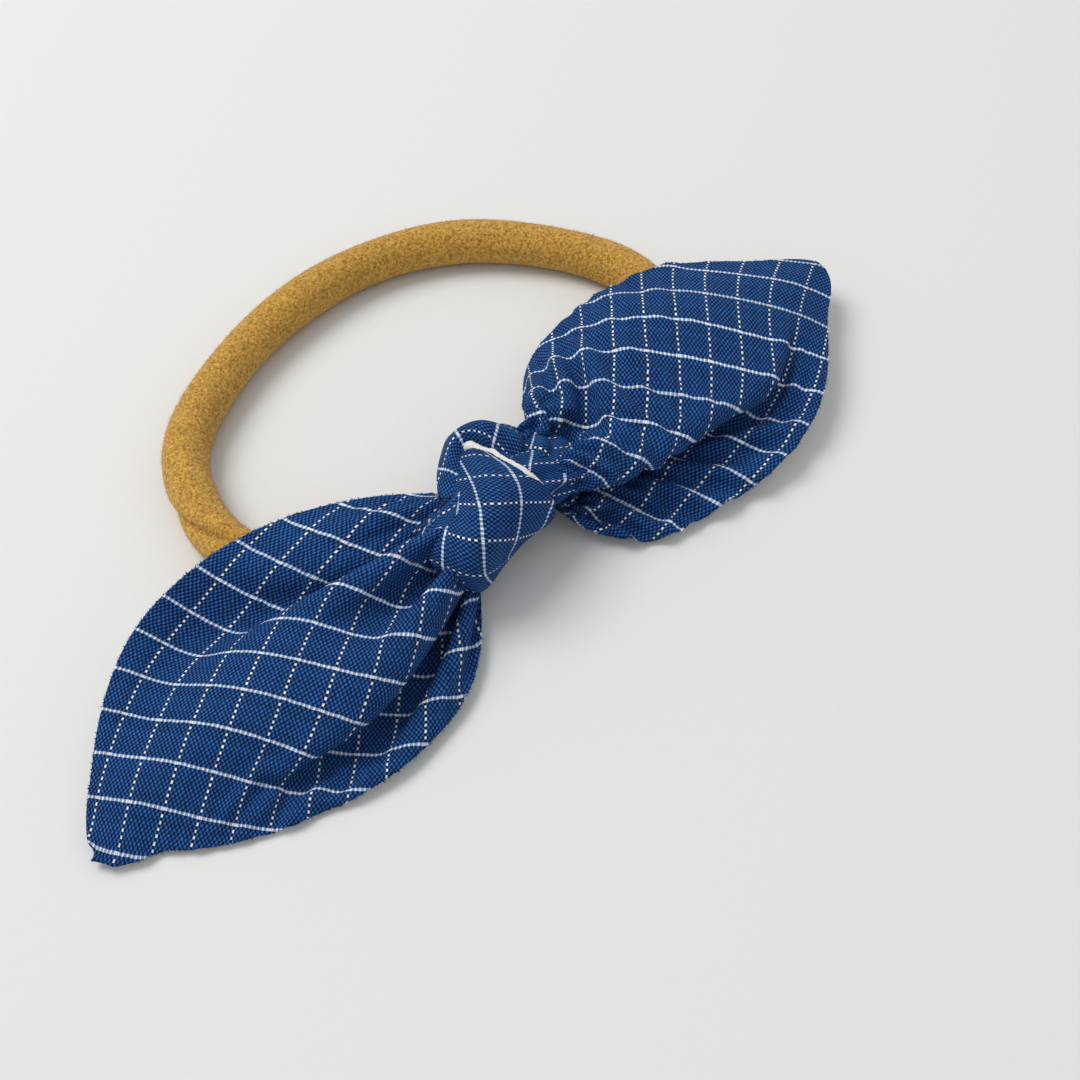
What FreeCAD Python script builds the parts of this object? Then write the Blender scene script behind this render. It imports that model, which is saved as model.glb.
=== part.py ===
"""Knotted fabric bow on a rolled nylon headband, lying flat on a table.

Frame, in millimetres: the origin is on the table, under the middle of the knot,
below the band's straight run. +X runs along the bow from its left tip to its
right tip, +Y points into the loop that goes round the head, and +Z is up.
"""
import FreeCAD, Part
import math
import os

V = FreeCAD.Vector
X_AXIS = V(1, 0, 0)

# Rolled nylon band
BAND_RADIUS = 3.4
BAND_LIE = BAND_RADIUS           # height of its middle where it lies on the table
CHORD_LIE = 5.0                  # height of its middle where it runs through the knot
SEAM_GAP = 0.4                   # between the two ends, which meet inside the knot
BAND_ROUTE = [
    (-SEAM_GAP / 2, 0, CHORD_LIE), (-14.5, 0, CHORD_LIE), (-22.5, 7.5, 4.3), (-28.9, 15.5, BAND_LIE),
    (-28.4, 25.5, BAND_LIE), (-22.5, 37.5, BAND_LIE), (-10, 44.5, BAND_LIE), (5, 48.6, BAND_LIE),
    (21, 48.6, BAND_LIE), (35.5, 42.5, BAND_LIE), (45.5, 31, BAND_LIE), (51.3, 18, BAND_LIE),
    (48.5, 7.5, 3.6), (38, 1, 4.5), (26, 0, CHORD_LIE), (SEAM_GAP / 2, 0, CHORD_LIE)]
ARC_SHARE = 0.45                 # how much of the shorter run each bend takes up

# Whip stitches that close the band's seam
STITCH_COUNT = 8
STITCH_RADIUS = 0.25
STITCH_LENGTH = 4.0
STITCH_CIRCLE = 2.6

# The strip: checked cotton bonded to a white backing
FACE_THICK = 0.4
BACKING_THICK = 0.5
STRIP_THICK = FACE_THICK + BACKING_THICK

# Knot
INNER_TURN_IN, INNER_TURN_OUT = 3.45, 3.95
INNER_TURN_X = (-6.0, 7.0)
UNDER_TURN_IN, UNDER_TURN_OUT = 4.2, 5.2
UNDER_TURN_X = (-8.0, 8.0)
WRAP_CENTRE_Y, WRAP_CENTRE_Z = -5.7, 7.8
WRAP_HALF_Y, WRAP_HALF_Z = 8.6, 7.4
WRAP_ANGLES = (-35, 128)         # round the bow's axis, from the front, over the top
WRAP_LEFT, WRAP_RIGHT = (-12.2, 0.5), (0.5, 8.0)    # its edges, at the front and at the back
WRAP_LEFT_TURN, WRAP_RIGHT_TURN = 2.2, 2.5    # how late its left edge turns, how early its right one does
WRAP_TUCK = 0.2                  # how much the wrap narrows towards its two edges
WRAP_STEPS = 6
WRAP_LINES = (-1, -0.5, 0, 0.5, 1)    # across the wrap, from its left edge to its right edge
CORE_GAP = 0.05
CORE_CENTRE_Y, CORE_CENTRE_Z = -6.2, 8.8
CORE_STATIONS = [(-11.6, 4.6, 1.8), (-3.0, 6.0, 4.0), (6.0, 6.0, 3.8), (13.4, 4.6, 1.6)]

# Tails: each line runs from the knot out to the tip, on the checked side.
# They go from the edge nearest the loop, over the folds, to the front edge.
LEFT_TAIL = [
    [(-12.8, 1.0, 10.2), (-22, 14.5, 9.7), (-34, 17.8, 9.1),
     (-46, 16.0, 6.2), (-57, 11.0, 3.6), (-68.6, -2.4, 1.9)],
    [(-12.8, -1.4, 10.2), (-22, 4.5, 9.8), (-34, 7.0, 8.9),
     (-46, 7.5, 5.8), (-57, 5.0, 3.4), (-69.0, -3.6, 1.8)],
    [(-12.8, -3.8, 10.4), (-22, -1.0, 10.8), (-34, 0.0, 9.6),
     (-46, 0.0, 6.2), (-57, -1.0, 3.8), (-69.4, -4.8, 1.7)],
    [(-12.8, -6.0, 9.8), (-22, -6.0, 10.2), (-34, -7.0, 9.2),
     (-46, -7.0, 6.0), (-57, -7.0, 3.6), (-69.6, -6.0, 1.6)],
    [(-12.8, -8.6, 10.2), (-22, -11.0, 9.8), (-34, -12.5, 7.8),
     (-46, -13.0, 5.0), (-57, -12.0, 2.8), (-69.6, -7.2, 1.5)],
    [(-12.8, -11.0, 8.0), (-22, -15.5, 4.8), (-34, -18.0, 3.2),
     (-46, -18.5, 2.6), (-57, -15.5, 2.0), (-69.4, -8.4, 1.4)],
    [(-12.8, -14.0, 7.0), (-22, -22.0, 5.4), (-34, -25.4, 2.6),
     (-46, -23.2, 1.5), (-57, -18.4, 1.4), (-69.2, -9.6, 1.3)]]
RIGHT_TAIL = [
    [(14.6, 1.0, 9.9), (22, 9.2, 9.6), (34, 13.0, 9.2),
     (47, 13.5, 8.8), (60, 8.6, 8.2), (71.4, -3.0, 6.0)],
    [(14.6, -1.2, 10.4), (22, 3.4, 10.8), (34, 6.0, 10.2),
     (47, 6.0, 9.4), (60, 2.6, 8.2), (71.8, -4.4, 5.9)],
    [(14.6, -3.8, 9.8), (22, -1.8, 9.8), (34, -0.8, 9.8),
     (47, -1.0, 9.2), (60, -2.0, 8.0), (72.0, -5.8, 5.8)],
    [(14.6, -6.0, 10.4), (22, -8.6, 10.6), (34, -9.0, 9.8),
     (47, -9.0, 8.4), (60, -7.0, 7.4), (72.0, -7.2, 5.6)],
    [(14.6, -8.8, 10.0), (22, -15.0, 8.8), (34, -16.0, 8.0),
     (47, -16.0, 5.8), (60, -11.0, 6.2), (71.9, -8.6, 5.5)],
    [(14.6, -11.2, 7.8), (21, -18.6, 4.8), (33, -19.6, 4.2),
     (46, -20.0, 3.2), (59, -14.0, 5.2), (71.8, -10.0, 5.4)],
    [(14.6, -14.2, 5.2), (22, -22.6, 1.8), (34, -23.8, 1.5),
     (46, -23.8, 1.6), (58.6, -17.6, 4.4), (71.6, -11.2, 5.3)]]

# Turn of the strip behind the knot, from the left fold to where the right tail leaves
TOP_LOOP = [
    [(1.5, 6.6, 2.6), (5.0, 8.6, 2.8), (8.6, 8.2, 4.4), (11.4, 6.0, 6.6), (13.4, 3.2, 9.4)],
    [(1.6, 8.2, 6.0), (5.2, 8.8, 8.0), (9.2, 6.8, 9.4), (12.0, 3.4, 10.4), (13.8, 0.2, 10.9)],
    [(2.6, 5.2, 9.4), (5.8, 4.4, 11.4), (9.2, 2.2, 12.4), (11.6, -0.8, 12.4), (13.4, -3.4, 11.8)]]

REACH = 30                       # half the length of a cutter that clears the knot
ALONG, ACROSS = 19, 15           # points that each smooth sheet is drawn through
SAME_WAY = 1                     # a wall joins two rims that run the same way


def bent_path(points, share):
    """Straight runs through the points, joined by arcs tangent to both runs."""
    points = [V(*point) for point in points]
    edges, radii, start = [], [], points[0]
    for before, corner, after in zip(points, points[1:], points[2:]):
        run_in, run_out = corner - before, after - corner
        half_turn = run_in.getAngle(run_out) / 2
        reach = share * min(run_in.Length, run_out.Length)
        radii.append(reach / math.tan(half_turn))
        run_in.normalize()
        run_out.normalize()
        entry, leave = corner - run_in * reach, corner + run_out * reach
        inward = (run_out - run_in).normalize()
        sagitta = radii[-1] * (1 / math.cos(half_turn) - 1)
        edges.append(Part.LineSegment(start, entry).toShape())
        edges.append(Part.Arc(entry, corner + inward * sagitta, leave).toShape())
        start = leave
    edges.append(Part.LineSegment(start, points[-1]).toShape())
    return Part.Wire(edges), radii


def tube(points, radius):
    """A round solid along a bent path; prints its bends and checks its volume."""
    path, radii = bent_path(points, ARC_SHARE)
    section = Part.Wire(Part.makeCircle(radius, V(*points[0]), X_AXIS))
    solid = path.makePipeShell([section], True, False)
    expected = math.pi * radius ** 2 * path.Length
    print("band length", round(path.Length, 1), "bend radii", [round(r, 1) for r in radii])
    print("band volume over section times length", round(solid.Volume / expected, 4))
    return solid


def ring(inner, outer, x_range):
    """A sleeve round the band's straight run."""
    start, length = V(x_range[0], 0, CHORD_LIE), x_range[1] - x_range[0]
    return Part.makeCylinder(outer, length, start, X_AXIS).cut(
        Part.makeCylinder(inner, length, start, X_AXIS))


def seam_stitches():
    """Short thread bars that cross the band's seam, set in a circle."""
    bars = []
    for number in range(STITCH_COUNT):
        angle = 2 * math.pi * number / STITCH_COUNT
        start = V(-STITCH_LENGTH / 2, STITCH_CIRCLE * math.cos(angle),
                  CHORD_LIE + STITCH_CIRCLE * math.sin(angle))
        bars.append(Part.makeCylinder(STITCH_RADIUS, STITCH_LENGTH, start, X_AXIS))
    return Part.makeCompound(bars)


def smooth_rows(lines, count):
    """Each line of points as a smooth curve, cut into evenly spaced points."""
    rows = []
    for line in lines:
        curve = Part.BSplineCurve()
        curve.interpolate(line)
        rows.append(curve.discretize(Number=count))
    return rows


def smooth_surface(lines):
    """A smooth surface through the lines, along them and then across them."""
    along = smooth_rows([[V(*point) for point in line] for line in lines], ALONG)
    across = smooth_rows(list(zip(*along)), ACROSS)
    surface = Part.BSplineSurface()
    surface.interpolate(across)
    return surface


def offset_surface(surface, depth):
    """The surface moved along its normal by the given depth."""
    u0, u1, v0, v1 = surface.bounds()
    rows = []
    for row in range(ALONG):
        u = u0 + (u1 - u0) * row / (ALONG - 1)
        steps = [v0 + (v1 - v0) * column / (ACROSS - 1) for column in range(ACROSS)]
        rows.append([surface.value(u, v) - surface.normal(u, v) * depth for v in steps])
    moved = Part.BSplineSurface()
    moved.interpolate(rows)
    return moved


def layer(surface, top_depth, bottom_depth):
    """A closed sheet between two depths under a surface."""
    top, bottom = offset_surface(surface, top_depth), offset_surface(surface, bottom_depth)
    rims = []
    for side in (top, bottom):
        u0, u1, v0, v1 = side.bounds()
        rims.append([side.uIso(u0), side.uIso(u1), side.vIso(v0), side.vIso(v1)])
    walls = [Part.makeRuledSurface(upper.toShape(), lower.toShape(), SAME_WAY)
             for upper, lower in zip(*rims)]
    shell = Part.makeShell([top.toShape(), bottom.toShape()] + walls)
    shell.sewShape()
    solid = Part.makeSolid(shell)
    if solid.Volume < 0:
        solid.reverse()
    return solid


def strip_layers(lines, outward):
    """The checked face and the white backing of one stretch of the strip."""
    surface = smooth_surface(lines)
    return (layer(surface, 0, outward * FACE_THICK),
            layer(surface, outward * FACE_THICK, outward * STRIP_THICK))


def front_wrap_lines():
    """The turn of the strip that crosses the front of the knot on a slant."""
    lines = []
    for across in WRAP_LINES:
        line = []
        for step in range(WRAP_STEPS + 1):
            share = step / WRAP_STEPS
            angle = math.radians(WRAP_ANGLES[0] + (WRAP_ANGLES[1] - WRAP_ANGLES[0]) * share)
            left = WRAP_LEFT[0] + (WRAP_LEFT[1] - WRAP_LEFT[0]) * share ** WRAP_LEFT_TURN
            right = WRAP_RIGHT[1] - (WRAP_RIGHT[1] - WRAP_RIGHT[0]) * (1 - share) ** WRAP_RIGHT_TURN
            size = 1 - WRAP_TUCK * across ** 2
            line.append(((left + right) / 2 + across * (right - left) / 2,
                         WRAP_CENTRE_Y - WRAP_HALF_Y * size * math.cos(angle),
                         WRAP_CENTRE_Z + WRAP_HALF_Z * size * math.sin(angle)))
        lines.append(line)
    return lines


def under_turn():
    """The turn of the strip that passes under the band, with a flat underside."""
    middle = UNDER_TURN_IN + BACKING_THICK
    table = Part.makeBox(2 * REACH, 2 * REACH, REACH, V(-REACH, -REACH, -REACH))
    face = ring(middle, UNDER_TURN_OUT, UNDER_TURN_X).cut(table)
    return face, ring(UNDER_TURN_IN, middle, UNDER_TURN_X)


def core_pleats():
    """The gathered strip that runs through the knot above the band."""
    wires = []
    for x, half_y, half_z in CORE_STATIONS:
        centre = V(x, CORE_CENTRE_Y, CORE_CENTRE_Z)
        ellipse = Part.Ellipse(centre + V(0, half_y, 0), centre + V(0, 0, half_z), centre)
        wires.append(Part.Wire(ellipse.toShape()))
    bore = Part.makeCylinder(UNDER_TURN_OUT + CORE_GAP, 2 * REACH, V(-REACH, 0, CHORD_LIE), X_AXIS)
    return Part.makeLoft(wires, True).cut(bore)


def build():
    """Every node's name and its solid."""
    parts = {"headband_band": tube(BAND_ROUTE, BAND_RADIUS),
             "headband_join_stitches": seam_stitches(),
             "knot_inner_turn": ring(INNER_TURN_IN, INNER_TURN_OUT, INNER_TURN_X),
             "knot_core_pleats": core_pleats()}
    parts["knot_under_turn_face"], parts["knot_under_turn_backing"] = under_turn()
    stretches = (("left_tail", LEFT_TAIL, 1), ("right_tail", RIGHT_TAIL, -1),
                 ("knot_front_wrap", front_wrap_lines(), -1), ("knot_top_loop", TOP_LOOP, -1))
    for name, lines, outward in stretches:
        parts[name + "_face"], parts[name + "_backing"] = strip_layers(lines, outward)
    return parts


os.makedirs("parts", exist_ok=True)
for node, shape in build().items():
    box = shape.BoundBox
    print(node, "valid" if shape.isValid() else "NOT VALID", len(shape.Solids), round(shape.Volume, 1),
          [round(x, 1) for x in (box.XMin, box.XMax, box.YMin, box.YMax, box.ZMin, box.ZMax)])
    shape.exportStep("parts/" + node + ".step")
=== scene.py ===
import math

import bpy
import numpy as np
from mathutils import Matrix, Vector


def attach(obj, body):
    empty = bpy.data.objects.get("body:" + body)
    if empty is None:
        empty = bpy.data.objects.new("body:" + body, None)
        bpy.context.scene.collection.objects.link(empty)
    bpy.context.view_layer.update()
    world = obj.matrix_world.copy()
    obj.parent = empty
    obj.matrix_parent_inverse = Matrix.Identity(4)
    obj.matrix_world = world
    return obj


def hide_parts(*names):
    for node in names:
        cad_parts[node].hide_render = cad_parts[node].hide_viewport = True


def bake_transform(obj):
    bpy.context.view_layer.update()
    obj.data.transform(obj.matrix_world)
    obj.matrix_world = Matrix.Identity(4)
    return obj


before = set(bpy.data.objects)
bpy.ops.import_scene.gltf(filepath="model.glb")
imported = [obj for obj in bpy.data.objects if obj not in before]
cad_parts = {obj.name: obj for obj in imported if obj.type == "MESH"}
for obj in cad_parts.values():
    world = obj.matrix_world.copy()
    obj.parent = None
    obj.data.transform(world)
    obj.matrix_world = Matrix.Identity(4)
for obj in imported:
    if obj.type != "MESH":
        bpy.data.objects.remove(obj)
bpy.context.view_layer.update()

MM = 0.001                      # shapes are worked out in millimetres and built in metres
RNG = np.random.default_rng(20)


# ---------------------------------------------------------------- camera and band route

AIM = Vector((-0.0004, -0.0142, 0.009))     # the place that the camera looks at
CAMERA_DISTANCE = 0.2398
AZIMUTH, ELEVATION = -45.0, 52.0     # looking along +X +Y, from above
LENS = 59.2


def add_camera():
    """A camera that looks at the knot from the bow's front left, and from above."""
    azimuth, elevation = math.radians(AZIMUTH), math.radians(ELEVATION)
    back = Vector((math.sin(azimuth) * math.cos(elevation), -math.cos(azimuth) * math.cos(elevation),
                   math.sin(elevation)))
    camera = bpy.data.objects.new("camera", bpy.data.cameras.new("camera"))
    bpy.context.scene.collection.objects.link(camera)
    camera.location = AIM + back * CAMERA_DISTANCE
    camera.rotation_euler = (-back).to_track_quat("-Z", "Y").to_euler()
    camera.data.lens = LENS
    camera.data.sensor_width = 36.0
    camera.data.clip_start = 0.01
    bpy.context.scene.camera = camera


# The band's control points, from its seam inside the knot, round the loop and back
BAND_DIAMETER = 0.0068
BAND_ROUTE = [
    (-0.0002, 0, 0.005), (-0.0145, 0, 0.005), (-0.0225, 0.0075, 0.0043), (-0.0289, 0.0155, 0.0034),
    (-0.0284, 0.0255, 0.0034), (-0.0225, 0.0375, 0.0034), (-0.010, 0.0445, 0.0034), (0.005, 0.0486, 0.0034),
    (0.021, 0.0486, 0.0034), (0.0355, 0.0425, 0.0034), (0.0455, 0.031, 0.0034), (0.0513, 0.018, 0.0034),
    (0.0485, 0.0075, 0.0036), (0.038, 0.001, 0.0045), (0.026, 0, 0.005), (0.0002, 0, 0.005)]
BAND_LENGTH = 0.208             # of the tube that the same points make with arcs at its corners


def route_points(route, resolution=24):
    """Points along the smooth spline that a route's points control."""
    curve = bpy.data.curves.new("route", "CURVE")
    curve.dimensions = "3D"
    line = curve.splines.new("NURBS")
    line.points.add(len(route) - 1)
    for point, place in zip(line.points, route):
        point.co = (*place, 1)
    line.order_u = 3
    line.use_endpoint_u = True
    line.resolution_u = resolution
    holder = bpy.data.objects.new("route", curve)
    mesh = bpy.data.meshes.new_from_object(holder)
    points = np.array([vertex.co[:] for vertex in mesh.vertices])
    bpy.data.objects.remove(holder)
    bpy.data.curves.remove(curve)
    bpy.data.meshes.remove(mesh)
    return points


add_camera()
BAND_LINE = route_points(BAND_ROUTE)


# ---------------------------------------------------------------- node materials

class Nodes:
    """Short calls for building a material's nodes."""

    def __init__(self, name, roughness):
        self.material = bpy.data.materials.new(name)
        self.material.use_nodes = True
        self.tree = self.material.node_tree
        self.shader = self.tree.nodes["Principled BSDF"]
        self.shader.inputs["Roughness"].default_value = roughness

    def plug(self, value, socket):
        if isinstance(value, bpy.types.NodeSocket):
            self.tree.links.new(value, socket)
        elif isinstance(value, (tuple, list)) and len(value) == 3 and socket.type == "RGBA":
            socket.default_value = (*value, 1)
        else:
            socket.default_value = value

    def math(self, operation, *values):
        node = self.tree.nodes.new("ShaderNodeMath")
        node.operation = operation
        for value, socket in zip(values, node.inputs):
            self.plug(value, socket)
        return node.outputs[0]

    def mix(self, share, first, second, blend="MIX"):
        node = self.tree.nodes.new("ShaderNodeMix")
        node.data_type = "RGBA"
        node.blend_type = blend
        self.plug(share, node.inputs["Factor"])
        self.plug(first, node.inputs["A"])
        self.plug(second, node.inputs["B"])
        return node.outputs["Result"]

    def noise(self, scale, vector=None, detail=3.0, roughness=0.5):
        node = self.tree.nodes.new("ShaderNodeTexNoise")
        node.inputs["Scale"].default_value = scale
        node.inputs["Detail"].default_value = detail
        node.inputs["Roughness"].default_value = roughness
        self.plug(vector if vector else self.place(), node.inputs["Vector"])
        return node.outputs["Fac"]

    def random(self, value):
        node = self.tree.nodes.new("ShaderNodeTexWhiteNoise")
        node.noise_dimensions = "1D"
        self.plug(value, node.inputs["W"])
        return node.outputs["Value"]

    def place(self):
        return self.tree.nodes.new("ShaderNodeTexCoord").outputs["Object"]

    def uv(self):
        node = self.tree.nodes.new("ShaderNodeUVMap")
        node.uv_map = "cloth"
        split = self.tree.nodes.new("ShaderNodeSeparateXYZ")
        self.plug(node.outputs[0], split.inputs[0])
        return split.outputs[0], split.outputs[1]

    def vector(self, x, y):
        node = self.tree.nodes.new("ShaderNodeCombineXYZ")
        self.plug(x, node.inputs[0])
        self.plug(y, node.inputs[1])
        return node.outputs[0]

    def grey(self, value):
        node = self.tree.nodes.new("ShaderNodeCombineXYZ")
        for socket in node.inputs:
            self.plug(value, socket)
        return node.outputs[0]

    def spread(self, value, low, high):
        """The value, from 0 to 1, spread between low and high."""
        return self.math("MULTIPLY_ADD", value, high - low, low)

    def finish(self, colour, height, distance, sheen, tint=(1, 1, 1)):
        bump = self.tree.nodes.new("ShaderNodeBump")
        bump.inputs["Distance"].default_value = distance
        self.plug(height, bump.inputs["Height"])
        self.plug(bump.outputs[0], self.shader.inputs["Normal"])
        self.plug(colour, self.shader.inputs["Base Color"])
        self.shader.inputs["Specular IOR Level"].default_value = 0.1
        self.shader.inputs["Sheen Weight"].default_value = sheen
        self.shader.inputs["Sheen Roughness"].default_value = 0.6
        self.shader.inputs["Sheen Tint"].default_value = (*tint, 1)
        return self.material


CHECK_I, CHECK_J = 5.15, 6.25   # check size, mm, along the solid lines and along the dotted ones
YARNS_I, YARNS_J = 16, 14       # yarns in one check, counted the same two ways
MID_BLUE = (0.022, 0.115, 0.36)
NAVY = (0.0015, 0.010, 0.055)
PALE = (0.80, 0.84, 0.92)
DIP = (0.25, 0.36, 0.62)        # where the white line of the closer yarn dips below a blue one


def check_cotton():
    """Plain weave of blue and navy yarns, with single white yarns that draw the check, and painted shade
    between the yarns.
    """
    nodes = Nodes("check_cotton", 0.82)
    u, v = nodes.uv()
    yarn_i = nodes.math("MULTIPLY", u, YARNS_I / CHECK_I)
    yarn_j = nodes.math("MULTIPLY", v, YARNS_J / CHECK_J)
    wobble = nodes.spread(nodes.noise(0.9, nodes.vector(u, v)), -0.35, 0.35)
    yarn_i, yarn_j = nodes.math("ADD", yarn_i, wobble), nodes.math("ADD", yarn_j, wobble)
    number_i, number_j = nodes.math("FLOOR", yarn_i), nodes.math("FLOOR", yarn_j)
    under = nodes.math("FLOORED_MODULO", nodes.math("ADD", number_i, number_j), 2.0)
    white_i = nodes.math("LESS_THAN", nodes.math("FLOORED_MODULO", number_i, YARNS_I), 0.5)
    white_j = nodes.math("LESS_THAN", nodes.math("FLOORED_MODULO", number_j, YARNS_J), 0.5)
    blue = nodes.mix(white_i, nodes.mix(white_j, MID_BLUE, DIP), PALE)
    navy = nodes.mix(white_j, NAVY, PALE)
    colour = nodes.mix(under, blue, navy)
    round_i = nodes.math("SINE", nodes.math("MULTIPLY", nodes.math("FRACT", yarn_i), math.pi))
    round_j = nodes.math("SINE", nodes.math("MULTIPLY", nodes.math("FRACT", yarn_j), math.pi))
    crown = nodes.math("MULTIPLY", round_i, round_j)
    fibre = nodes.noise(26.0, nodes.vector(nodes.math("MULTIPLY", u, 0.35), v), 2.0)
    tone = nodes.math("ADD", nodes.spread(nodes.random(number_i), -0.12, 0.12),
                      nodes.spread(nodes.random(nodes.math("ADD", number_j, 400.0)), -0.12, 0.12))
    # Colour is darker at each yarn's sides and lighter on its crown: painted shade between the yarns and a
    # painted highlight on their tops, plus real random tone per yarn and fibre texture.
    yarn_tone_and_painted_shade = nodes.math("ADD", nodes.spread(nodes.math("POWER", crown, 0.6), 0.45, 1.25), tone)
    yarn_tone_and_painted_shade = nodes.math("ADD", yarn_tone_and_painted_shade, nodes.spread(fibre, -0.25, 0.25))
    colour = nodes.mix(1.0, colour, nodes.grey(yarn_tone_and_painted_shade), "MULTIPLY")
    height = nodes.math("ADD", crown, nodes.math("MULTIPLY", fibre, 0.35))
    return nodes.finish(colour, height, 0.00007, 0.05, (0.3, 0.5, 1.0))


def white_backing():
    """Matt off-white backing cloth with a fine weave and a few loose fibres."""
    nodes = Nodes("white_backing", 0.9)
    u, v = nodes.uv()
    weave = nodes.math("MULTIPLY", nodes.math("SINE", nodes.math("MULTIPLY", u, 16.0)),
                       nodes.math("SINE", nodes.math("MULTIPLY", v, 16.0)))
    felt = nodes.noise(2200.0, None, 4.0, 0.65)
    colour = nodes.mix(nodes.noise(160.0), (0.80, 0.78, 0.73), (0.90, 0.89, 0.86))
    colour = nodes.mix(nodes.spread(felt, 0.0, 0.5), colour, (0.66, 0.63, 0.58))
    height = nodes.math("ADD", nodes.math("MULTIPLY", weave, 0.3), felt)
    return nodes.finish(colour, height, 0.00008, 0.2)


def mustard_nylon():
    """Brushed nylon: short nap in clumps, darker between them with painted shade, paler on them with a
    painted highlight where they catch light.
    """
    nodes = Nodes("mustard_nylon", 0.92)
    clumps = nodes.noise(2300.0, None, 3.0, 0.7)
    patches = nodes.noise(260.0, None, 2.0)
    streaks = nodes.noise(3600.0, None, 2.0, 0.6)
    # The clump noise sets both height and colour: partly the nylon's own mottle, partly painted shade
    # between clumps and a painted highlight on them.
    colour = nodes.mix(nodes.math("SMOOTH_MIN", nodes.spread(clumps, -0.9, 2.0), 1.0, 0.1),
                       (0.15, 0.055, 0.003), (0.86, 0.50, 0.10))
    colour = nodes.mix(nodes.spread(patches, 0.0, 0.4), colour, (0.48, 0.24, 0.035))
    height = nodes.math("ADD", clumps, nodes.math("MULTIPLY", streaks, 0.5))
    return nodes.finish(colour, height, 0.00022, 0.35, (1.0, 0.78, 0.45))


def mustard_thread():
    """Twisted sewing thread, with painted shade in its twist."""
    nodes = Nodes("mustard_thread", 0.6)
    split = nodes.tree.nodes.new("ShaderNodeSeparateXYZ")
    nodes.plug(nodes.place(), split.inputs[0])
    across = nodes.math("ADD", split.outputs[0], split.outputs[1])
    twist = nodes.math("SINE", nodes.math("MULTIPLY", across, 12000.0))
    # The twist that makes the bump also sets the colour: painted shade in the grooves between strands and a
    # painted highlight on their ridges.
    colour = nodes.mix(nodes.spread(twist, 0.5, 1.0), (0.35, 0.18, 0.04), (0.62, 0.38, 0.12))
    return nodes.finish(colour, twist, 0.00004, 0.2)


MATERIALS = {"check_cotton": check_cotton(), "white_backing": white_backing(),
             "mustard_nylon": mustard_nylon(), "mustard_thread": mustard_thread()}


# ---------------------------------------------------------------- shape helpers

TINY = 1e-9                     # keeps a division by a length from failing


def spline(knots, points, at):
    """A smooth curve through points at rising knots, read at other places."""
    knots, points, at = (np.asarray(values, float) for values in (knots, points, at))
    steps = knots[1:] - knots[:-1]
    slopes = (points[1:] - points[:-1]) / steps[:, None]
    middle = slopes[:-1] * steps[1:, None] + slopes[1:] * steps[:-1, None]
    middle /= (steps[1:] + steps[:-1])[:, None]
    tangents = np.concatenate([slopes[:1], middle, slopes[-1:]])
    place = np.clip(np.searchsorted(knots, at, side="right") - 1, 0, len(steps) - 1)
    t = ((at - knots[place]) / steps[place])[:, None]
    step = steps[place][:, None]
    rise = 3 * t ** 2 - 2 * t ** 3
    leaving = (t ** 3 - 2 * t ** 2 + t) * step * tangents[place]
    arriving = (t ** 3 - t ** 2) * step * tangents[place + 1]
    return (1 - rise) * points[place] + rise * points[place + 1] + leaving + arriving


def refine(grid, rows, columns):
    """A grid of points drawn again with more rows and columns."""
    down = np.linspace(0, grid.shape[0] - 1, rows)
    along = np.linspace(0, grid.shape[1] - 1, columns)
    columns_now = grid.transpose(1, 0, 2)
    tall = np.stack([spline(np.arange(grid.shape[0]), column, down) for column in columns_now], 1)
    return np.stack([spline(np.arange(grid.shape[1]), row, along) for row in tall])


def unit(vectors):
    """Vectors along the last axis, at length one."""
    return vectors / np.maximum(np.linalg.norm(vectors, axis=-1, keepdims=True), TINY)


def normals(grid):
    """Unit normals of a grid of points, evened out by averaging each with the next ones."""
    normal = unit(np.cross(np.gradient(grid, axis=1), np.gradient(grid, axis=0)))
    for _ in range(3):
        normal = (normal + np.concatenate([normal[1:], normal[-1:]])) / 2
        normal = (normal + np.concatenate([normal[:, 1:], normal[:, -1:]], 1)) / 2
    return unit(normal)


def tube_faces(rings, sides):
    """Faces of a closed tube whose points are numbered ring by ring."""
    number = np.arange(rings * sides).reshape(rings, sides)
    turned = np.roll(number, -1, 1)
    faces = np.stack([number[:-1], turned[:-1], turned[1:], number[1:]], 2).reshape(-1, 4).tolist()
    return faces + [number[0, ::-1].tolist(), number[-1].tolist()]


def build(name, points, faces, uvs, slot, body=None):
    """A smooth mesh piece from points in mm, with a flat map, attached to a body if one is given."""
    mesh = bpy.data.meshes.new(name)
    mesh.from_pydata((np.asarray(points) * MM).tolist(), [], [list(face) for face in faces])
    layer = mesh.uv_layers.new(name="cloth")
    corners = np.zeros(len(mesh.loops), int)
    mesh.loops.foreach_get("vertex_index", corners)
    layer.data.foreach_set("uv", np.asarray(uvs, float)[corners].ravel())
    mesh.shade_smooth()
    mesh.materials.append(MATERIALS[slot])
    piece = bpy.data.objects.new(name, mesh)
    bpy.context.scene.collection.objects.link(piece)
    if body:
        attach(piece, body)
    return piece


def gathered_thin(grid, flat):
    """The share of its thickness that the cloth keeps: less where it is gathered tight."""
    share = np.ones(grid.shape[:2])
    for axis in (0, 1):
        gathered = np.linalg.norm(np.gradient(grid, axis=axis), axis=2)
        cut = np.linalg.norm(np.gradient(flat, axis=axis), axis=2) + TINY
        share *= np.clip(gathered / cut, 0.05, 1)
    for _ in range(4):
        for lines in (share, share.T):
            lines[1:-1] = np.minimum(lines[1:-1], (lines[:-2] + 2 * lines[1:-1] + lines[2:]) / 4)
    return share[..., None]


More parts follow.
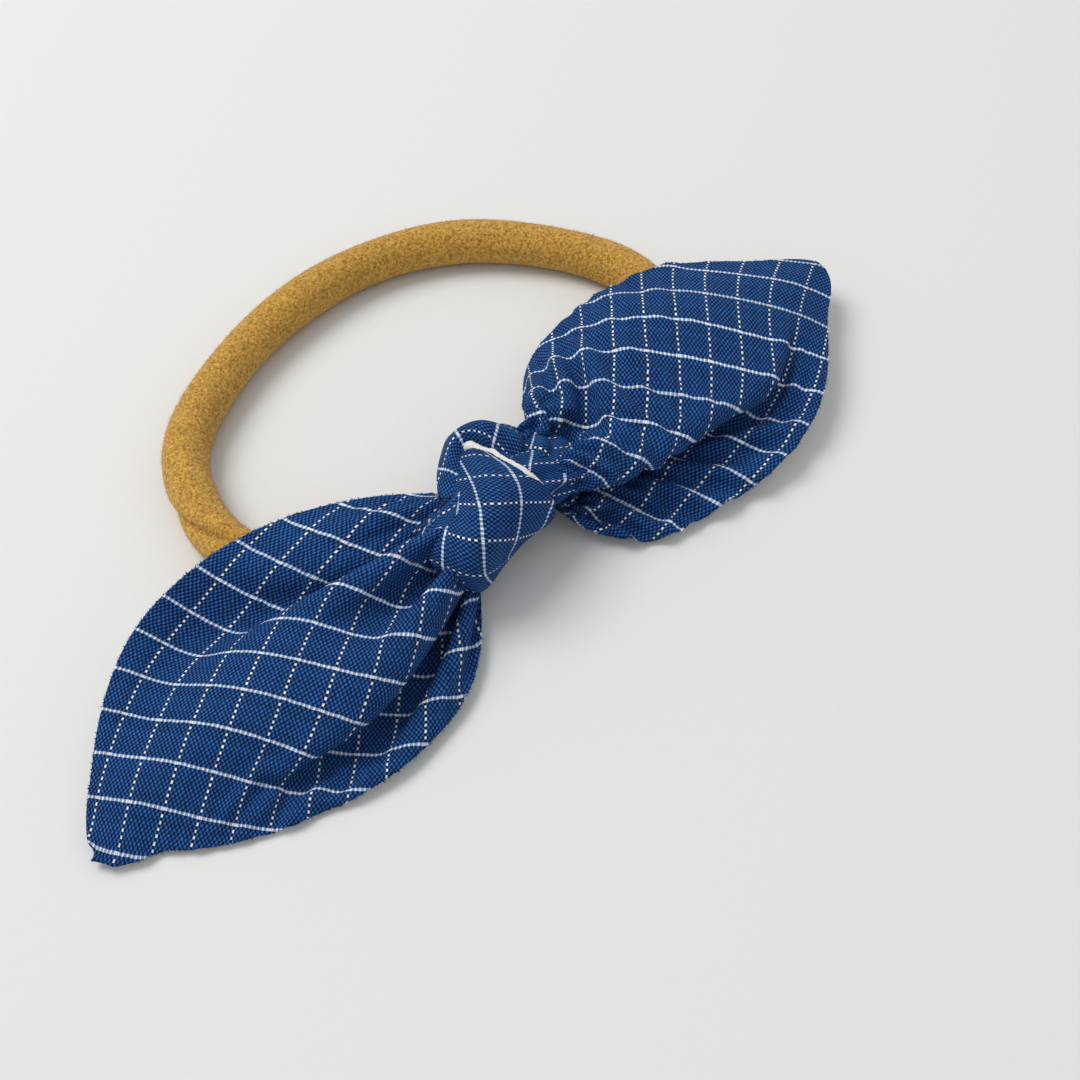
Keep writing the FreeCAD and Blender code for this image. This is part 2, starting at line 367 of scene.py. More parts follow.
def slab(grid, flat, top, bottom, keep=1):
    """Points, faces and flat map of a closed sheet between two depths under a grid."""
    normal = normals(grid) * gathered_thin(grid, flat) * keep
    points = np.concatenate([(grid - normal * depth).reshape(-1, 3) for depth in (top, bottom)])
    below = grid.shape[0] * grid.shape[1]
    number = np.arange(below).reshape(grid.shape[:2])
    corners = [number[:-1, :-1], number[:-1, 1:], number[1:, 1:], number[1:, :-1]]
    quads = np.stack(corners, 2).reshape(-1, 4)
    faces = quads.tolist() + (quads[:, ::-1] + below).tolist()
    rim = np.concatenate([number[0], number[1:, -1], number[-1, -2::-1], number[-2:0:-1, 0]])
    ahead = np.roll(rim, -1)
    faces += np.stack([ahead, rim, rim + below, ahead + below], 1).tolist()
    return points, faces, np.concatenate([flat.reshape(-1, 2)] * 2)


# ---------------------------------------------------------------- band, in mm

BAND_RADIUS = BAND_DIAMETER / 2 / MM
BAND_SIDES = 80
GROOVE_AT, GROOVE_REACH = 0.18, 0.055    # where along the band its rolled edge shows, as shares
GROOVE_DEPTH, FAINT_DEPTH = 0.42, 0.03   # of that groove there and elsewhere, as shares of the radius
GROOVE_START, GROOVE_TURN = math.radians(75), 1.7    # its angle round the band, and how fast it winds
GROOVE_WIDTH = 0.24                      # radians
FLOOR_CLEAR = 0.05                       # height above the table of the band and of a fibre's tip
NAP_HAIRS = 26000
NAP_LEAN = 0.55                          # how far fibres lean, as a spread
NAP_LENGTH = (0.22, 0.62)
NAP_HALF_WIDTH = 0.03
NAP_ROOT, ROOT_CLEAR = 0.08, 0.03        # depth of a fibre's root in the band, and its least height


def band_section(share, angle):
    """The rolled band's radius at a place along it and an angle round it, from its outer side."""
    past = (share - GROOVE_AT) / GROOVE_REACH
    groove_at = GROOVE_START - GROOVE_TURN * np.clip(past, 0, 1.3)
    depth = FAINT_DEPTH + GROOVE_DEPTH * np.exp(-past ** 4)
    apart = np.abs((angle - groove_at + math.pi) % (2 * math.pi) - math.pi)
    groove = depth * np.exp(-(apart / GROOVE_WIDTH) ** 1.4)
    return BAND_RADIUS * (1.0 - groove + 0.018 * np.sin(3 * angle + 30 * share) + 0.02 * np.sin(46 * share))


def add_band():
    """The rolled nylon tube along its route, closed into a loop inside the knot."""
    line = BAND_LINE / MM
    side = unit(np.cross([0, 0, 1.0], np.gradient(line, axis=0)))
    up = np.cross(unit(np.gradient(line, axis=0)), side)
    steps = np.linalg.norm(np.diff(line, axis=0), axis=1)
    share = np.concatenate([[0], np.cumsum(steps)]) / steps.sum()
    angle = np.linspace(0, 2 * math.pi, BAND_SIDES, endpoint=False)
    radius = band_section(share[:, None], angle[None, :])
    grid = (line[:, None] + radius[..., None] * (side[:, None] * np.cos(angle)[None, :, None]
                                                 + up[:, None] * np.sin(angle)[None, :, None]))
    grid[..., 2] = np.maximum(grid[..., 2], FLOOR_CLEAR)
    faces = tube_faces(len(line), BAND_SIDES)
    flat = np.stack(np.broadcast_arrays(share[:, None] * BAND_LENGTH / MM, angle * BAND_RADIUS), 2)
    band = build("band", grid.reshape(-1, 3), faces, flat.reshape(-1, 2), "mustard_nylon", "headband")
    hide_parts("headband_band")
    return grid, line


def add_nap(grid, line):
    """Short fibres that stand off the band and give it a soft outline."""
    rows = RNG.uniform(2, len(line) - 3, NAP_HAIRS)
    columns = RNG.integers(0, BAND_SIDES, NAP_HAIRS)
    low = rows.astype(int)
    part = (rows - low)[:, None]
    beside = (columns + 1) % BAND_SIDES
    slide = RNG.uniform(0, 1, (NAP_HAIRS, 1))
    root = ((grid[low, columns] * (1 - part) + grid[low + 1, columns] * part) * (1 - slide)
            + (grid[low, beside] * (1 - part) + grid[low + 1, beside] * part) * slide)
    out = unit(root - (line[low] * (1 - part) + line[low + 1] * part))
    way = unit(out + RNG.normal(0, NAP_LEAN, (NAP_HAIRS, 3)))
    length = RNG.uniform(*NAP_LENGTH, (NAP_HAIRS, 1))
    across = unit(np.cross(way, RNG.normal(0, 1, (NAP_HAIRS, 3)))) * NAP_HALF_WIDTH
    root = root - out * NAP_ROOT
    tip = root + way * length
    tip[:, 2] = np.maximum(tip[:, 2], FLOOR_CLEAR)
    root[:, 2] = np.maximum(root[:, 2], ROOT_CLEAR)
    points = np.stack([root - across, root + across, tip], 1).reshape(-1, 3)
    faces = np.arange(3 * NAP_HAIRS).reshape(-1, 3).tolist()
    build("band_nap", points, faces, np.zeros((len(points), 2)), "mustard_nylon", "headband")


BAND_GRID, BAND_MM = add_band()
add_nap(BAND_GRID, BAND_MM)


# ---------------------------------------------------------------- tails, in mm unless it says metres

FACE, BACKING = 0.32, 0.38      # thickness of the checked cotton and of its backing
LAYER_GAP = 0.01                # between those two
TAIL_LENGTH = 66.5              # flat, from the tip to the middle of the knot's side
TAIL_HALF, WIDEST_AT = 30.5, 52.0       # widest half width, and how far from the tip it is
SIDE_POWER = 0.85               # how full the sides are: 1 is a plain sine
TIP_RADIUS, TIP_BLUNT = 4.5, 0.15       # the tip's roundness, and the station where it is cut off
ROWS, COLUMNS = 67, 57

# The strip is cut on a slant: its length and its width, as directions on the check
STRIP_SLANT = math.radians(58.7)
STRIP_ALONG = np.array([math.cos(STRIP_SLANT), math.sin(STRIP_SLANT)])
STRIP_ACROSS = np.array([-math.sin(STRIP_SLANT), math.cos(STRIP_SLANT)])
HIDDEN_SLANT = np.array([[0.52, 0.85], [-0.85, 0.52]])  # about the same slant, for turns hardly seen

# Each tail is drawn as a few sections from the knot (station 66.5, its flat distance from the
# tip) to the tip. A section's points are: share of the half width, from 1 at the edge beside the
# band to -1 at the front edge; place across, y; and height, z. With them go the tip's x, the
# length along x over the flat length, the share of it that the gathers take at the knot, and how
# far the edges are swept along x.
LEFT_TIP_X, LEFT_REACH, LEFT_GATHER, LEFT_SWEEP = -70, 0.92, -0.06, 3.0
LEFT_GIVE = (0.93, 0.90)        # length and width of the knotted cloth over the cut cloth's
LEFT_SECTIONS = [
    (66.5, [(1, 2, 9.3), (0.75, -0.5, 9.5), (0.55, -3, 7.5), (0.15, -5, 9.5), (-0.05, -6.5, 6.5),
            (-0.3, -7.5, 8), (-0.5, -8, 4.5), (-1, -7, 4)]),
    (54, [(1, 11, 9), (0.75, 4.5, 10), (0.55, -0.5, 7), (0.15, -4.5, 11.5), (-0.05, -7.5, 7.5),
          (-0.3, -12.5, 9.5), (-0.45, -14.5, 6), (-0.55, -13.5, 2.5), (-0.8, -16.5, 3.5), (-1, -18, 3)]),
    (38, [(1, 17, 8), (0.55, 6, 3), (0.3, 2, 8), (0.1, -3, 9.5), (-0.3, -15.5, 8), (-0.45, -18, 5),
          (-0.55, -17, 2), (-1, -22.5, 2)]),
    (20, [(1, 13, 5), (0.5, 5, 4), (0, -4.5, 6), (-0.5, -12.5, 3), (-1, -18.5, 1)]),
    (8, [(1, 4, 3), (0, -4.5, 3.5), (-1, -12.5, 1)]),
    (0, [(1, -5, 2), (0, -6, 1.5), (-1, -7, 1.5)])]

RIGHT_TIP_X, RIGHT_REACH, RIGHT_GATHER, RIGHT_SWEEP = 71, 1.08, 0.12, -2.5
RIGHT_GIVE = (1.08, 0.94)       # this one is pulled longer on the slant
RIGHT_SECTIONS = [
    (66.5, [(1, -1.5, 8), (0.6, -2.5, 10), (0.4, -4, 8), (0.2, -7, 11), (-0.1, -9, 8.5),
            (-0.4, -8, 5), (-1, -10, 4)]),
    (55, [(1, 3, 7), (0.8, 2, 10.5), (0.6, -1, 11), (0.4, -4, 9), (0.2, -8.5, 12), (-0.05, -14, 9),
          (-0.4, -8, 4.5), (-0.75, -14.5, 3), (-1, -18.5, 2)]),
    (40, [(1, 14, 6), (0.6, 4, 11.5), (0.22, -7, 11.5), (-0.14, -17.5, 8.5), (-0.4, -11, 4.5),
          (-0.68, -17.5, 3.5), (-1, -23, 2.5)]),
    (26, [(1, 15, 7), (0.55, 4, 11), (0.08, -7, 11), (-0.36, -18.5, 8), (-0.52, -17.5, 6),
          (-0.68, -19.5, 5), (-1, -24, 4.5)]),
    (13, [(1, 9.5, 6.5), (0, -5.5, 9), (-1, -18, 5.5)]),
    (0, [(1, -4, 6), (0, -5, 6), (-1, -6, 5.5)])]


def half_width(station):
    """Half the flat width: a leaf with a rounded tip."""
    leaf = TAIL_HALF * np.sin(math.pi / 2 * np.maximum(station, 0) / WIDEST_AT) ** SIDE_POWER
    return np.maximum(leaf, np.sqrt(2 * TIP_RADIUS * np.maximum(station, TIP_BLUNT)))


STATIONS = np.linspace(TAIL_LENGTH, 0, ROWS)
SHARES = np.linspace(1, -1, COLUMNS)
HALVES = half_width(STATIONS)
LEAF = np.stack([np.repeat(STATIONS[:, None], COLUMNS, 1), HALVES[:, None] * SHARES], 2)


SWEEP_FROM, SWEEP_SKEW = 0.4, 2.2       # the sweep spares the middle, and is strongest near the knot


def lofted(sections, tip_x, reach, gather, sweep):
    """A tail's first shape, smooth through its sections, with its edges swept along x."""
    rows = []
    for station, drawn in sections:
        share, across, height = np.array(drawn, float).T
        section = spline(-share, np.stack([across, height], 1), -SHARES)
        middle = section[COLUMNS // 2, 0]
        shares_across = (section[:, 0] - middle) / half_width(station)
        rows.append(np.concatenate([[middle], shares_across, section[:, 1]]))
    knots = [-station for station, _ in sections]
    smooth = spline(knots, rows, -STATIONS)
    y = smooth[:, :1] + HALVES[:, None] * smooth[:, 1:COLUMNS + 1]
    part = (STATIONS / TAIL_LENGTH)[:, None]
    swept = sweep * (SHARES[None] ** 2 - SWEEP_FROM) * np.sin(math.pi * part ** SWEEP_SKEW)
    x = tip_x - math.copysign(reach, tip_x) * STATIONS[:, None] * (1 - gather * part ** 4) + swept
    return np.stack([x, y, smooth[:, COLUMNS + 1:]], 2)


def link_groups(give):
    """Pairs of grid points held at their flat distance, in groups that share no point."""
    number = np.arange(ROWS * COLUMNS).reshape(ROWS, COLUMNS)
    groups = []

    def add(first, second, kind):
        groups.append((first.ravel(), second.ravel(), kind))

    for start in (0, 1):
        right = number[:, start + 1::2]
        add(number[:, start:-1:2][:, :right.shape[1]], right, "thread")
        lower = number[start + 1::2]
        upper = number[start:-1:2][:len(lower)]
        add(upper, lower, "thread")
        add(upper[:, :-1], lower[:, 1:], "slant")
        add(upper[:, 1:], lower[:, :-1], "slant")
    for reach, kind in ((2, "bend"), (4, "drape")):
        for start in (0, reach):
            columns = [c for c in range(COLUMNS - reach) if start <= c % (2 * reach) < start + reach]
            add(number[:, columns], number[:, [c + reach for c in columns]], kind)
            rows = [r for r in range(ROWS - reach) if start <= r % (2 * reach) < start + reach]
            add(number[rows], number[[r + reach for r in rows]], kind)
    flat = LEAF.reshape(-1, 2) * np.array(give)
    return [(first, second, np.linalg.norm(flat[first] - flat[second], axis=1)[:, None], kind)
            for first, second, kind in groups]


# Share of a wrong distance that one round of settling puts right
SLANT_PUSH = 0.3                # a weave gives on the slant
BEND_PUSH, SHARP_PUSH = 0.3, 0.45
SHARP_BEND = 0.95               # a bend is sharp when its ends are nearer than this share of flat
DRAPE_PUSH = 0.12
STAGES = ((120, 0.05), (100, 0.03))     # rounds of settling, and the pull to the drawn shape
ROOT_PULL = 0.25                # more of that pull at the knot
FIXED_ROWS = 2                  # rows held inside the knot
GATHER_FROM, GATHER_TO = 66.5, 48       # stations between which the gathers fade out
LOOSEST = 0.03                  # least share of its stiffness that the gathered cloth keeps
SLIDE = 3.0                     # how far the bow slides along the band, either way
FLOOR_GAP = FACE + BACKING + 0.1        # from the table to the top of the cloth lying on it
BAND_GAP = BAND_RADIUS + FLOOR_GAP      # from the band's middle to the top of cloth lying on it
UP_SHARE = 0.3                  # least upward share of a push off the band


def settle(shape, links, rounds, pull):
    """Cloth that keeps its flat lengths, rests on table and band, and stays near its drawn shape."""
    target = shape.reshape(-1, 3)
    points = target.copy()
    everyone = np.arange(len(points))
    free = np.ones((len(points), 1))
    free[:FIXED_ROWS * COLUMNS] = 0
    firm = np.clip((GATHER_FROM - STATIONS) / (GATHER_FROM - GATHER_TO), LOOSEST, 1)
    firm = np.repeat(firm, COLUMNS)[:, None]
    hold = pull + ROOT_PULL * (1 - firm) ** 2
    near_band = np.concatenate([BAND_MM[::8] + np.array([slide, 0, 0]) for slide in (-SLIDE, 0, SLIDE)])
    for _ in range(rounds):
        for first, second, length, kind in links:
            apart = points[second] - points[first]
            now = np.linalg.norm(apart, axis=1, keepdims=True) + TINY
            excess = (now - length) / now
            excess = np.where(excess < 0, excess * firm[first], excess)
            if kind == "slant":
                excess = excess * SLANT_PUSH
            elif kind == "bend":
                push = np.where(now < SHARP_BEND * length, SHARP_PUSH, BEND_PUSH)
                excess = np.minimum(excess, 0) * push
            elif kind == "drape":
                excess = np.minimum(excess, 0) * DRAPE_PUSH
            move = apart * excess / np.maximum(free[first] + free[second], 1)
            points[first] += move * free[first]
            points[second] -= move * free[second]
        away = points[:, None] - near_band[None]
        distance = np.linalg.norm(away, axis=2)
        closest = distance.argmin(1)
        distance = distance[everyone, closest]
        touching = distance < BAND_GAP
        way = away[everyone, closest][touching]
        way[:, 2] = np.maximum(way[:, 2], UP_SHARE * distance[touching])
        depth = (BAND_GAP - distance[touching])[:, None]
        points[touching] += unit(way) * (0.5 * depth) * free[touching]
        points += (target - points) * hold * free
        points[:, 2] = np.maximum(points[:, 2], FLOOR_GAP)
    return points.reshape(shape.shape)


FRAYED = slice(2, -6)           # fine rows of an edge that are frayed
END_LENGTH = (0.08, 0.30)
END_LEAN = 0.35                 # how far ends lean, as a spread
END_HALF_WIDTH = 0.09
END_ROOT, END_CLEAR = 0.1, 0.1  # depth of an end's root in the cloth, and its least height


def fray(grid, flat, edge, inner):
    """Loose yarn ends along the raw edge in one column of a grid, away from the column inside it."""
    line, marks = grid[FRAYED, edge], flat[FRAYED, edge]
    out = unit(line - grid[FRAYED, inner])
    count = 3 * len(line)
    place = RNG.integers(0, len(line) - 1, count)
    part = RNG.uniform(0, 1, (count, 1))
    root = line[place] * (1 - part) + line[place + 1] * part
    way = out[place] + RNG.normal(0, END_LEAN, (count, 3))
    tip = root + way * RNG.uniform(*END_LENGTH, (count, 1))
    along = unit(line[place + 1] - line[place]) * END_HALF_WIDTH
    root = root - out[place] * END_ROOT
    points = np.stack([root - along, root + along, tip], 1).reshape(-1, 3)
    points[:, 2] = np.maximum(points[:, 2], END_CLEAR)
    return points, np.repeat(marks[place], 3, 0)


BACKING_ROWS = slice(24, -4)    # fine rows of a tail that its backing has: it stops 12 mm short of
BACKING_COLUMNS = slice(1, -1)  # the inner end, and just short of the tip and of the raw edges
BACKING_SHARE = 0.82            # of the tail's flat length and area
THIN_REACH, THINNEST = 24, 0.1  # layers thin towards the knot, over this length, to this share


def add_tail_layer(body, layer, grid, leaf, flat, facing):
    """A tail's checked face, with frayed edges, or its white backing below."""
    part = (slice(None), slice(None)) if layer == "face" else (BACKING_ROWS, BACKING_COLUMNS)
    top, bottom = (0, FACE) if layer == "face" else (FACE + LAYER_GAP, FACE + BACKING)
    keep = np.clip((GATHER_FROM - leaf[part][..., :1]) / THIN_REACH, THINNEST, 1)
    points, faces, marks = slab(grid[part], flat[part], facing * top, facing * bottom, keep)
    if layer == "face":
        for edge, inner in ((0, 1), (-1, -2)):
            ends, end_marks = fray(grid, flat, edge, inner)
            faces += (np.arange(len(ends)).reshape(-1, 3) + len(points)).tolist()
            points = np.concatenate([points, ends])
            marks = np.concatenate([marks, end_marks])
    slot = "check_cotton" if layer == "face" else "white_backing"
    return build(body + "_" + layer + "_cloth", points, faces, marks, slot)


def add_tail(side, shape, give, tip_on_check, direction, blend_from, blend_to):
    """One tail: its first shape settled as cloth, then given its two layers."""
    links = link_groups(give)
    for rounds, pull in STAGES:
        shape = settle(shape, links, rounds, pull)
    grid = refine(shape, 2 * ROWS - 1, 2 * COLUMNS - 1)
    leaf = refine(LEAF, 2 * ROWS - 1, 2 * COLUMNS - 1)
    flat = tip_on_check + direction * leaf[..., :1] * STRIP_ALONG + leaf[..., 1:2] * STRIP_ACROSS
    facing = 1 if normals(grid)[..., 2].mean() > 0 else -1
    body = side + "_tail"
    for layer, share in (("face", 1), ("backing", BACKING_SHARE)):
        piece = add_tail_layer(body, layer, grid, leaf, flat, facing)
        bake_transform(piece)
        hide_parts(body + "_" + layer)


# Where each tip lies on the check, and for each tail two places, in metres, beside the knot, passed to
# add_tail
LEFT_ON_CHECK, RIGHT_ON_CHECK = (1.5, -0.5), (22.0, 0.5)
LEFT_TURNS = ((-0.0105, -0.006, 0.011), (-0.0185, -0.006, 0.011))
RIGHT_TURNS = ((0.0125, -0.006, 0.0112), (0.0205, -0.006, 0.0112))
LEFT_SHAPE = lofted(LEFT_SECTIONS, LEFT_TIP_X, LEFT_REACH, LEFT_GATHER, LEFT_SWEEP)
RIGHT_SHAPE = lofted(RIGHT_SECTIONS, RIGHT_TIP_X, RIGHT_REACH, RIGHT_GATHER, RIGHT_SWEEP)
add_tail("left", LEFT_SHAPE, LEFT_GIVE, LEFT_ON_CHECK, 1, *LEFT_TURNS)
add_tail("right", RIGHT_SHAPE, RIGHT_GIVE, RIGHT_ON_CHECK, -1, *RIGHT_TURNS)


# ---------------------------------------------------------------- knot, in mm

# Turn over the front of the knot, x, y, z: rows from its top to its underside, each left to right
FRONT_WRAP = [
    [(2.5, 4.5, 10), (2.5, 2, 13), (3, -1.5, 14)],
    [(-2.5, 0, 11), (-0.5, -4, 15), (3.5, -7, 14.5)],
    [(-7, -3, 10.5), (-4.5, -9, 15.5), (4.5, -11, 12.5)],
    [(-12, -4.5, 10), (-8.5, -12, 13.5), (4.5, -12, 7.5)],
    [(-13.5, -7, 8.5), (-10.5, -13, 9.5), (0.5, -10.5, 4.5)],
    [(-12, -10, 5), (-9.5, -12.5, 4.5), (-3, -10, 2)]]
# Turn behind the knot: rows from its left end to its right one, each from back to front
TOP_LOOP = [
    [(-5.5, 0.5, 9.8), (-4.5, -1.5, 10.6), (-3, -2.5, 10.2)],
    [(-2.5, 4, 9), (-2, 2, 10.8), (-1, 0, 11)],
    [(1.5, 7.5, 7.5), (1.5, 5.5, 11), (2, 3.5, 10.5)],
    [(5, 9.5, 7), (4, 6, 12), (4, 3, 11)],
    [(8.5, 8, 8), (6.5, 3.5, 13.5), (4.5, 0.5, 11.5)],
    [(10.5, 4, 9.5), (8, -1.5, 13.5), (5, -4, 11)],
    [(12, 1.5, 9), (8.5, -2.5, 11.5), (5, -6.5, 10)],
    [(13, 0, 9.5), (9.5, -5, 13), (5.5, -8.5, 10)],
    [(15, -2, 8), (11.5, -5.5, 10), (7, -9.5, 8)]]
# How the check lies on each turn: the flat place of its first row's middle, and how far the turn
# is rotated on the check, for each of its two directions: they differ, as a weave gives on the slant
WRAP_CHECK = (-2.5, 5.0, math.radians(12), math.radians(-14))
LOOP_CHECK = (2.0, 2.0, math.radians(70), math.radians(70))
BAND_HEIGHT = BAND_ROUTE[0][2] / MM     # of the band's straight run through the knot
KNOT_CENTRE = np.array([0.0, -3.0, 6.0])
TURN_ROWS, TURN_COLUMNS = 91, 85
TURN_RIM = slice(3, -3)         # fine rows and columns of a turn that its backing has


def laid_check(grid, start_u, start_v, turn_u, turn_v):
    """The flat map of a turn: its real lengths along its middle and across from there."""
    steps = np.linalg.norm(np.diff(grid, axis=1), axis=2)
    across = np.concatenate([np.zeros((len(grid), 1)), np.cumsum(steps, 1)], 1)
    middle = grid.shape[1] // 2
    across -= across[:, middle:middle + 1]
    steps = np.linalg.norm(np.diff(grid[:, middle], axis=0), axis=1)
    along = np.concatenate([[0], np.cumsum(steps)])[:, None]
    return np.stack([start_u + along * math.cos(turn_u) - across * math.sin(turn_u),
                     start_v + along * math.sin(turn_v) + across * math.cos(turn_v)], 2)


def cut_edge(name, line, out, widths):
    """The raw white edge of the backing, which shows beside the checked face."""
    sides = 10
    along = unit(np.gradient(line, axis=0))
    out = unit(out - along * (out * along).sum(1, keepdims=True))
    up = np.cross(along, out)
    angle = np.linspace(0, 2 * math.pi, sides, endpoint=False)
    radius = widths[:, None] * (1 + RNG.normal(0, 0.10, (len(line), sides)))
    grid = (line[:, None] + out[:, None] * (radius * np.cos(angle))[..., None]
            + up[:, None] * (radius * 0.8 * np.sin(angle))[..., None])
    points = grid.reshape(-1, 3)
    build(name, points, tube_faces(len(line), sides), points[:, :2], "white_backing", "knot")


def add_turn(name, rows, check):
    """One visible turn of the strip round the knot: its checked face and its backing."""
    grid = refine(np.array(rows, float), TURN_ROWS, TURN_COLUMNS)
    flat = laid_check(grid, *check)
    outward = grid.reshape(-1, 3).mean(0) - KNOT_CENTRE
    facing = np.sign((normals(grid).mean((0, 1)) * outward).sum())
    for layer, top, bottom, slot in (("face", 0, FACE, "check_cotton"),
                                     ("backing", FACE + LAYER_GAP, FACE + BACKING, "white_backing")):
        part = slice(None) if layer == "face" else TURN_RIM
        points, faces, marks = slab(grid[part, part], flat[part, part], facing * top, facing * bottom)
        piece = build(name + "_" + layer + "_cloth", points, faces, marks, slot, "knot")
        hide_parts(name + "_" + layer)
    return grid, normals(grid) * facing


SLEEVE_THICK = 0.4
SLEEVE_RINGS, SLEEVE_SIDES = 25, 72


def sleeve(name, radius, span, slot, body, node, flattened=False):
    """A turn of the strip close round the band, creased, and pressed flat below if it lies there."""
    along = np.linspace(*span, SLEEVE_RINGS)
    around = np.linspace(0, 2 * math.pi, SLEEVE_SIDES, endpoint=False)
    x, angle = np.meshgrid(along, around, indexing="ij")
    crease = 0.05 * np.sin(7 * angle + 0.9 * x) + 0.04 * np.sin(11 * angle - 1.3 * x)
    walls = []
    for distance, lowest in ((radius + SLEEVE_THICK, 0.02), (radius, SLEEVE_THICK * 0.9)):
        reach = distance + crease
        wall = np.stack([x, reach * np.cos(angle), BAND_HEIGHT + reach * np.sin(angle)], 2)
        if flattened:
            wall[..., 2] = np.maximum(wall[..., 2], lowest)
        walls.append(wall.reshape(-1, 3))
    count = x.size
    number = np.arange(count).reshape(x.shape)
    turned = np.roll(number, -1, 1)
    quads = np.stack([number[:-1], number[1:], turned[1:], turned[:-1]], 2).reshape(-1, 4)
    faces = quads.tolist() + (quads[:, ::-1] + count).tolist()
    for row, flip in ((0, 1), (-1, -1)):
        ring = np.stack([number[row], turned[row], turned[row] + count, number[row] + count], 1)
        faces += ring[:, ::flip].tolist()
    flat = np.stack([x, angle * radius], 2).reshape(-1, 2) @ HIDDEN_SLANT
    piece = build(name, np.concatenate(walls), faces, np.concatenate([flat] * 2), slot, body)
    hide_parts(node)


# The gathered strip through the knot, as ellipses along it: x, centre y, z, half sizes in y and z
CORE_SECTIONS = [(-12.5, -6.5, 8.0, 5.5, 2.2), (-8, -6.5, 8.4, 5.8, 3.6), (-3, -6, 9.0, 5.6, 4.6),
                 (5, -5.6, 9.2, 5.4, 4.4), (10, -6, 9.0, 5.4, 3.0), (14, -6.5, 8.8, 5.0, 2.0)]
CORE_RINGS, CORE_SIDES = 40, 96
CORE_AROUND = 9.0
CORE_OFF_BAND = 5.3             # least distance from the band's middle


def add_core():
    """The gathered strip inside the knot: a bundle with deep pleats along it."""
    sections = np.array(CORE_SECTIONS, float)
    x = np.linspace(sections[0, 0], sections[-1, 0], CORE_RINGS)
    centre_y, centre_z, half_y, half_z = spline(sections[:, 0], sections[:, 1:], x).T
    angle = np.linspace(0, 2 * math.pi, CORE_SIDES, endpoint=False)
    pleat = 1 - 0.13 * np.abs(np.sin(3.5 * angle + 0.4)) ** 0.7 - 0.05 * np.sin(9 * angle)
    grid = np.stack(np.broadcast_arrays(
        x[:, None], centre_y[:, None] + half_y[:, None] * pleat * np.cos(angle),
        centre_z[:, None] + half_z[:, None] * pleat * np.sin(angle)), 2)
    away = np.hypot(grid[..., 1], grid[..., 2] - BAND_HEIGHT)
    push = np.maximum(CORE_OFF_BAND - away, 0) / np.maximum(away, TINY)
    grid[..., 1] += grid[..., 1] * push
    grid[..., 2] += (grid[..., 2] - BAND_HEIGHT) * push
    faces = [face[::-1] for face in tube_faces(CORE_RINGS, CORE_SIDES)]
    flat = np.stack(np.broadcast_arrays(x[:, None], angle * CORE_AROUND), 2).reshape(-1, 2)
    flat = flat @ HIDDEN_SLANT
    core = build("knot_core_cloth", grid.reshape(-1, 3), faces, flat, "check_cotton", "knot")
    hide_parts("knot_core_pleats")


WRAP_GRID, WRAP_UP = add_turn("knot_front_wrap", FRONT_WRAP, WRAP_CHECK)
add_turn("knot_top_loop", TOP_LOOP, LOOP_CHECK)

# The wrap's raw edge runs along its top row, from this column on, and down its right side to
# this row, where the wrap is widest
EDGE_FROM, EDGE_TO = 20, 36


def along_edge(top, side):
    """Values on the wrap's top row and right side, joined in the order of its raw edge."""
    return np.concatenate([top[EDGE_FROM:-1], side[:EDGE_TO]])


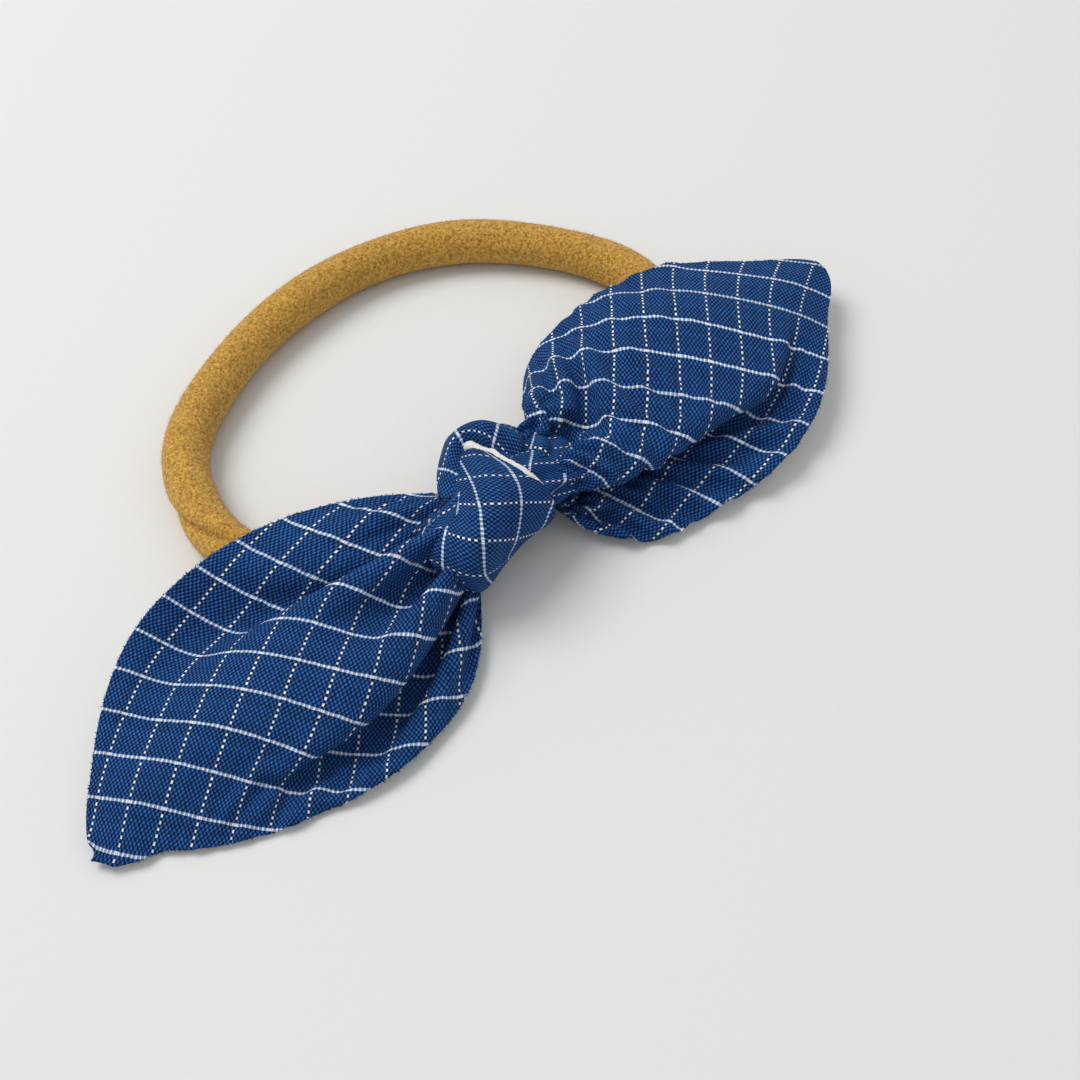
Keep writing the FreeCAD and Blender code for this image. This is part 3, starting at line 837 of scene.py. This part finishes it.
EDGE_LINE = along_edge(WRAP_GRID[0], WRAP_GRID[:, -1])
EDGE_UP = along_edge(WRAP_UP[0], WRAP_UP[:, -1])
EDGE_OUT = along_edge(WRAP_GRID[0] - WRAP_GRID[1], WRAP_GRID[:, -1] - WRAP_GRID[:, -2])
EDGE_SHARE = np.linspace(0, 1, len(EDGE_LINE))
EDGE_WIDTH = (0.50 * np.clip((1 - EDGE_SHARE) / 0.12, 0.1, 1)
              + 0.22 * np.exp(-((EDGE_SHARE - 0.1) / 0.12) ** 2))
EDGE_SINK = 0.25                # of the raw edge's middle below the wrap's surface
cut_edge("knot_wrap_cut_edge", EDGE_LINE - EDGE_UP * EDGE_SINK, EDGE_OUT, EDGE_WIDTH)

# Inner radii of the turns close round the band, and where they start and end along it
sleeve("knot_inner_turn_cloth", 3.5, (-2.0, 7.0), "white_backing", "inner_turn", "knot_inner_turn")
sleeve("knot_under_turn_backing_cloth", 4.25, (-1.0, 8.0), "white_backing", "knot",
       "knot_under_turn_backing", flattened=True)
sleeve("knot_under_turn_face_cloth", 4.75, (-1.2, 8.0), "check_cotton", "knot",
       "knot_under_turn_face", flattened=True)
add_core()

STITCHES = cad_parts["headband_join_stitches"].data.materials
STITCHES.clear()
STITCHES.append(MATERIALS["mustard_thread"])


# ---------------------------------------------------------------- table, light

def add_table():
    """A pale matt table top."""
    nodes = Nodes("table_top", 0.75)
    colour = nodes.mix(nodes.noise(900.0), (0.78, 0.78, 0.765), (0.80, 0.80, 0.785))
    nodes.finish(colour, nodes.noise(1500.0), 0.00001, 0.0)
    mesh = bpy.data.meshes.new("table")
    reach = 2.5
    corners = [(-reach, -reach, 0), (reach, -reach, 0), (reach, reach, 0), (-reach, reach, 0)]
    mesh.from_pydata(corners, [], [(0, 1, 2, 3)])
    mesh.materials.append(nodes.material)
    table = bpy.data.objects.new("table", mesh)
    bpy.context.scene.collection.objects.link(table)


def add_lamp(name, place, size, power, colour):
    """A round soft light that faces the origin."""
    lamp = bpy.data.lights.new(name, "AREA")
    lamp.shape = "DISK"
    lamp.size = size
    lamp.energy = power
    lamp.color = colour
    holder = bpy.data.objects.new(name, lamp)
    holder.location = place
    holder.rotation_euler = Vector(place).to_track_quat("Z", "Y").to_euler()
    bpy.context.scene.collection.objects.link(holder)


add_table()
add_lamp("window", (-0.25, 0.62, 0.95), 0.75, 8.0, (1.0, 0.99, 0.97))
world = bpy.data.worlds.new("studio")
world.use_nodes = True
world.node_tree.nodes["Background"].inputs["Color"].default_value = (0.96, 0.98, 1.0, 1)
world.node_tree.nodes["Background"].inputs["Strength"].default_value = 0.58
bpy.context.scene.world = world
bpy.context.scene.view_settings.view_transform = "Standard"
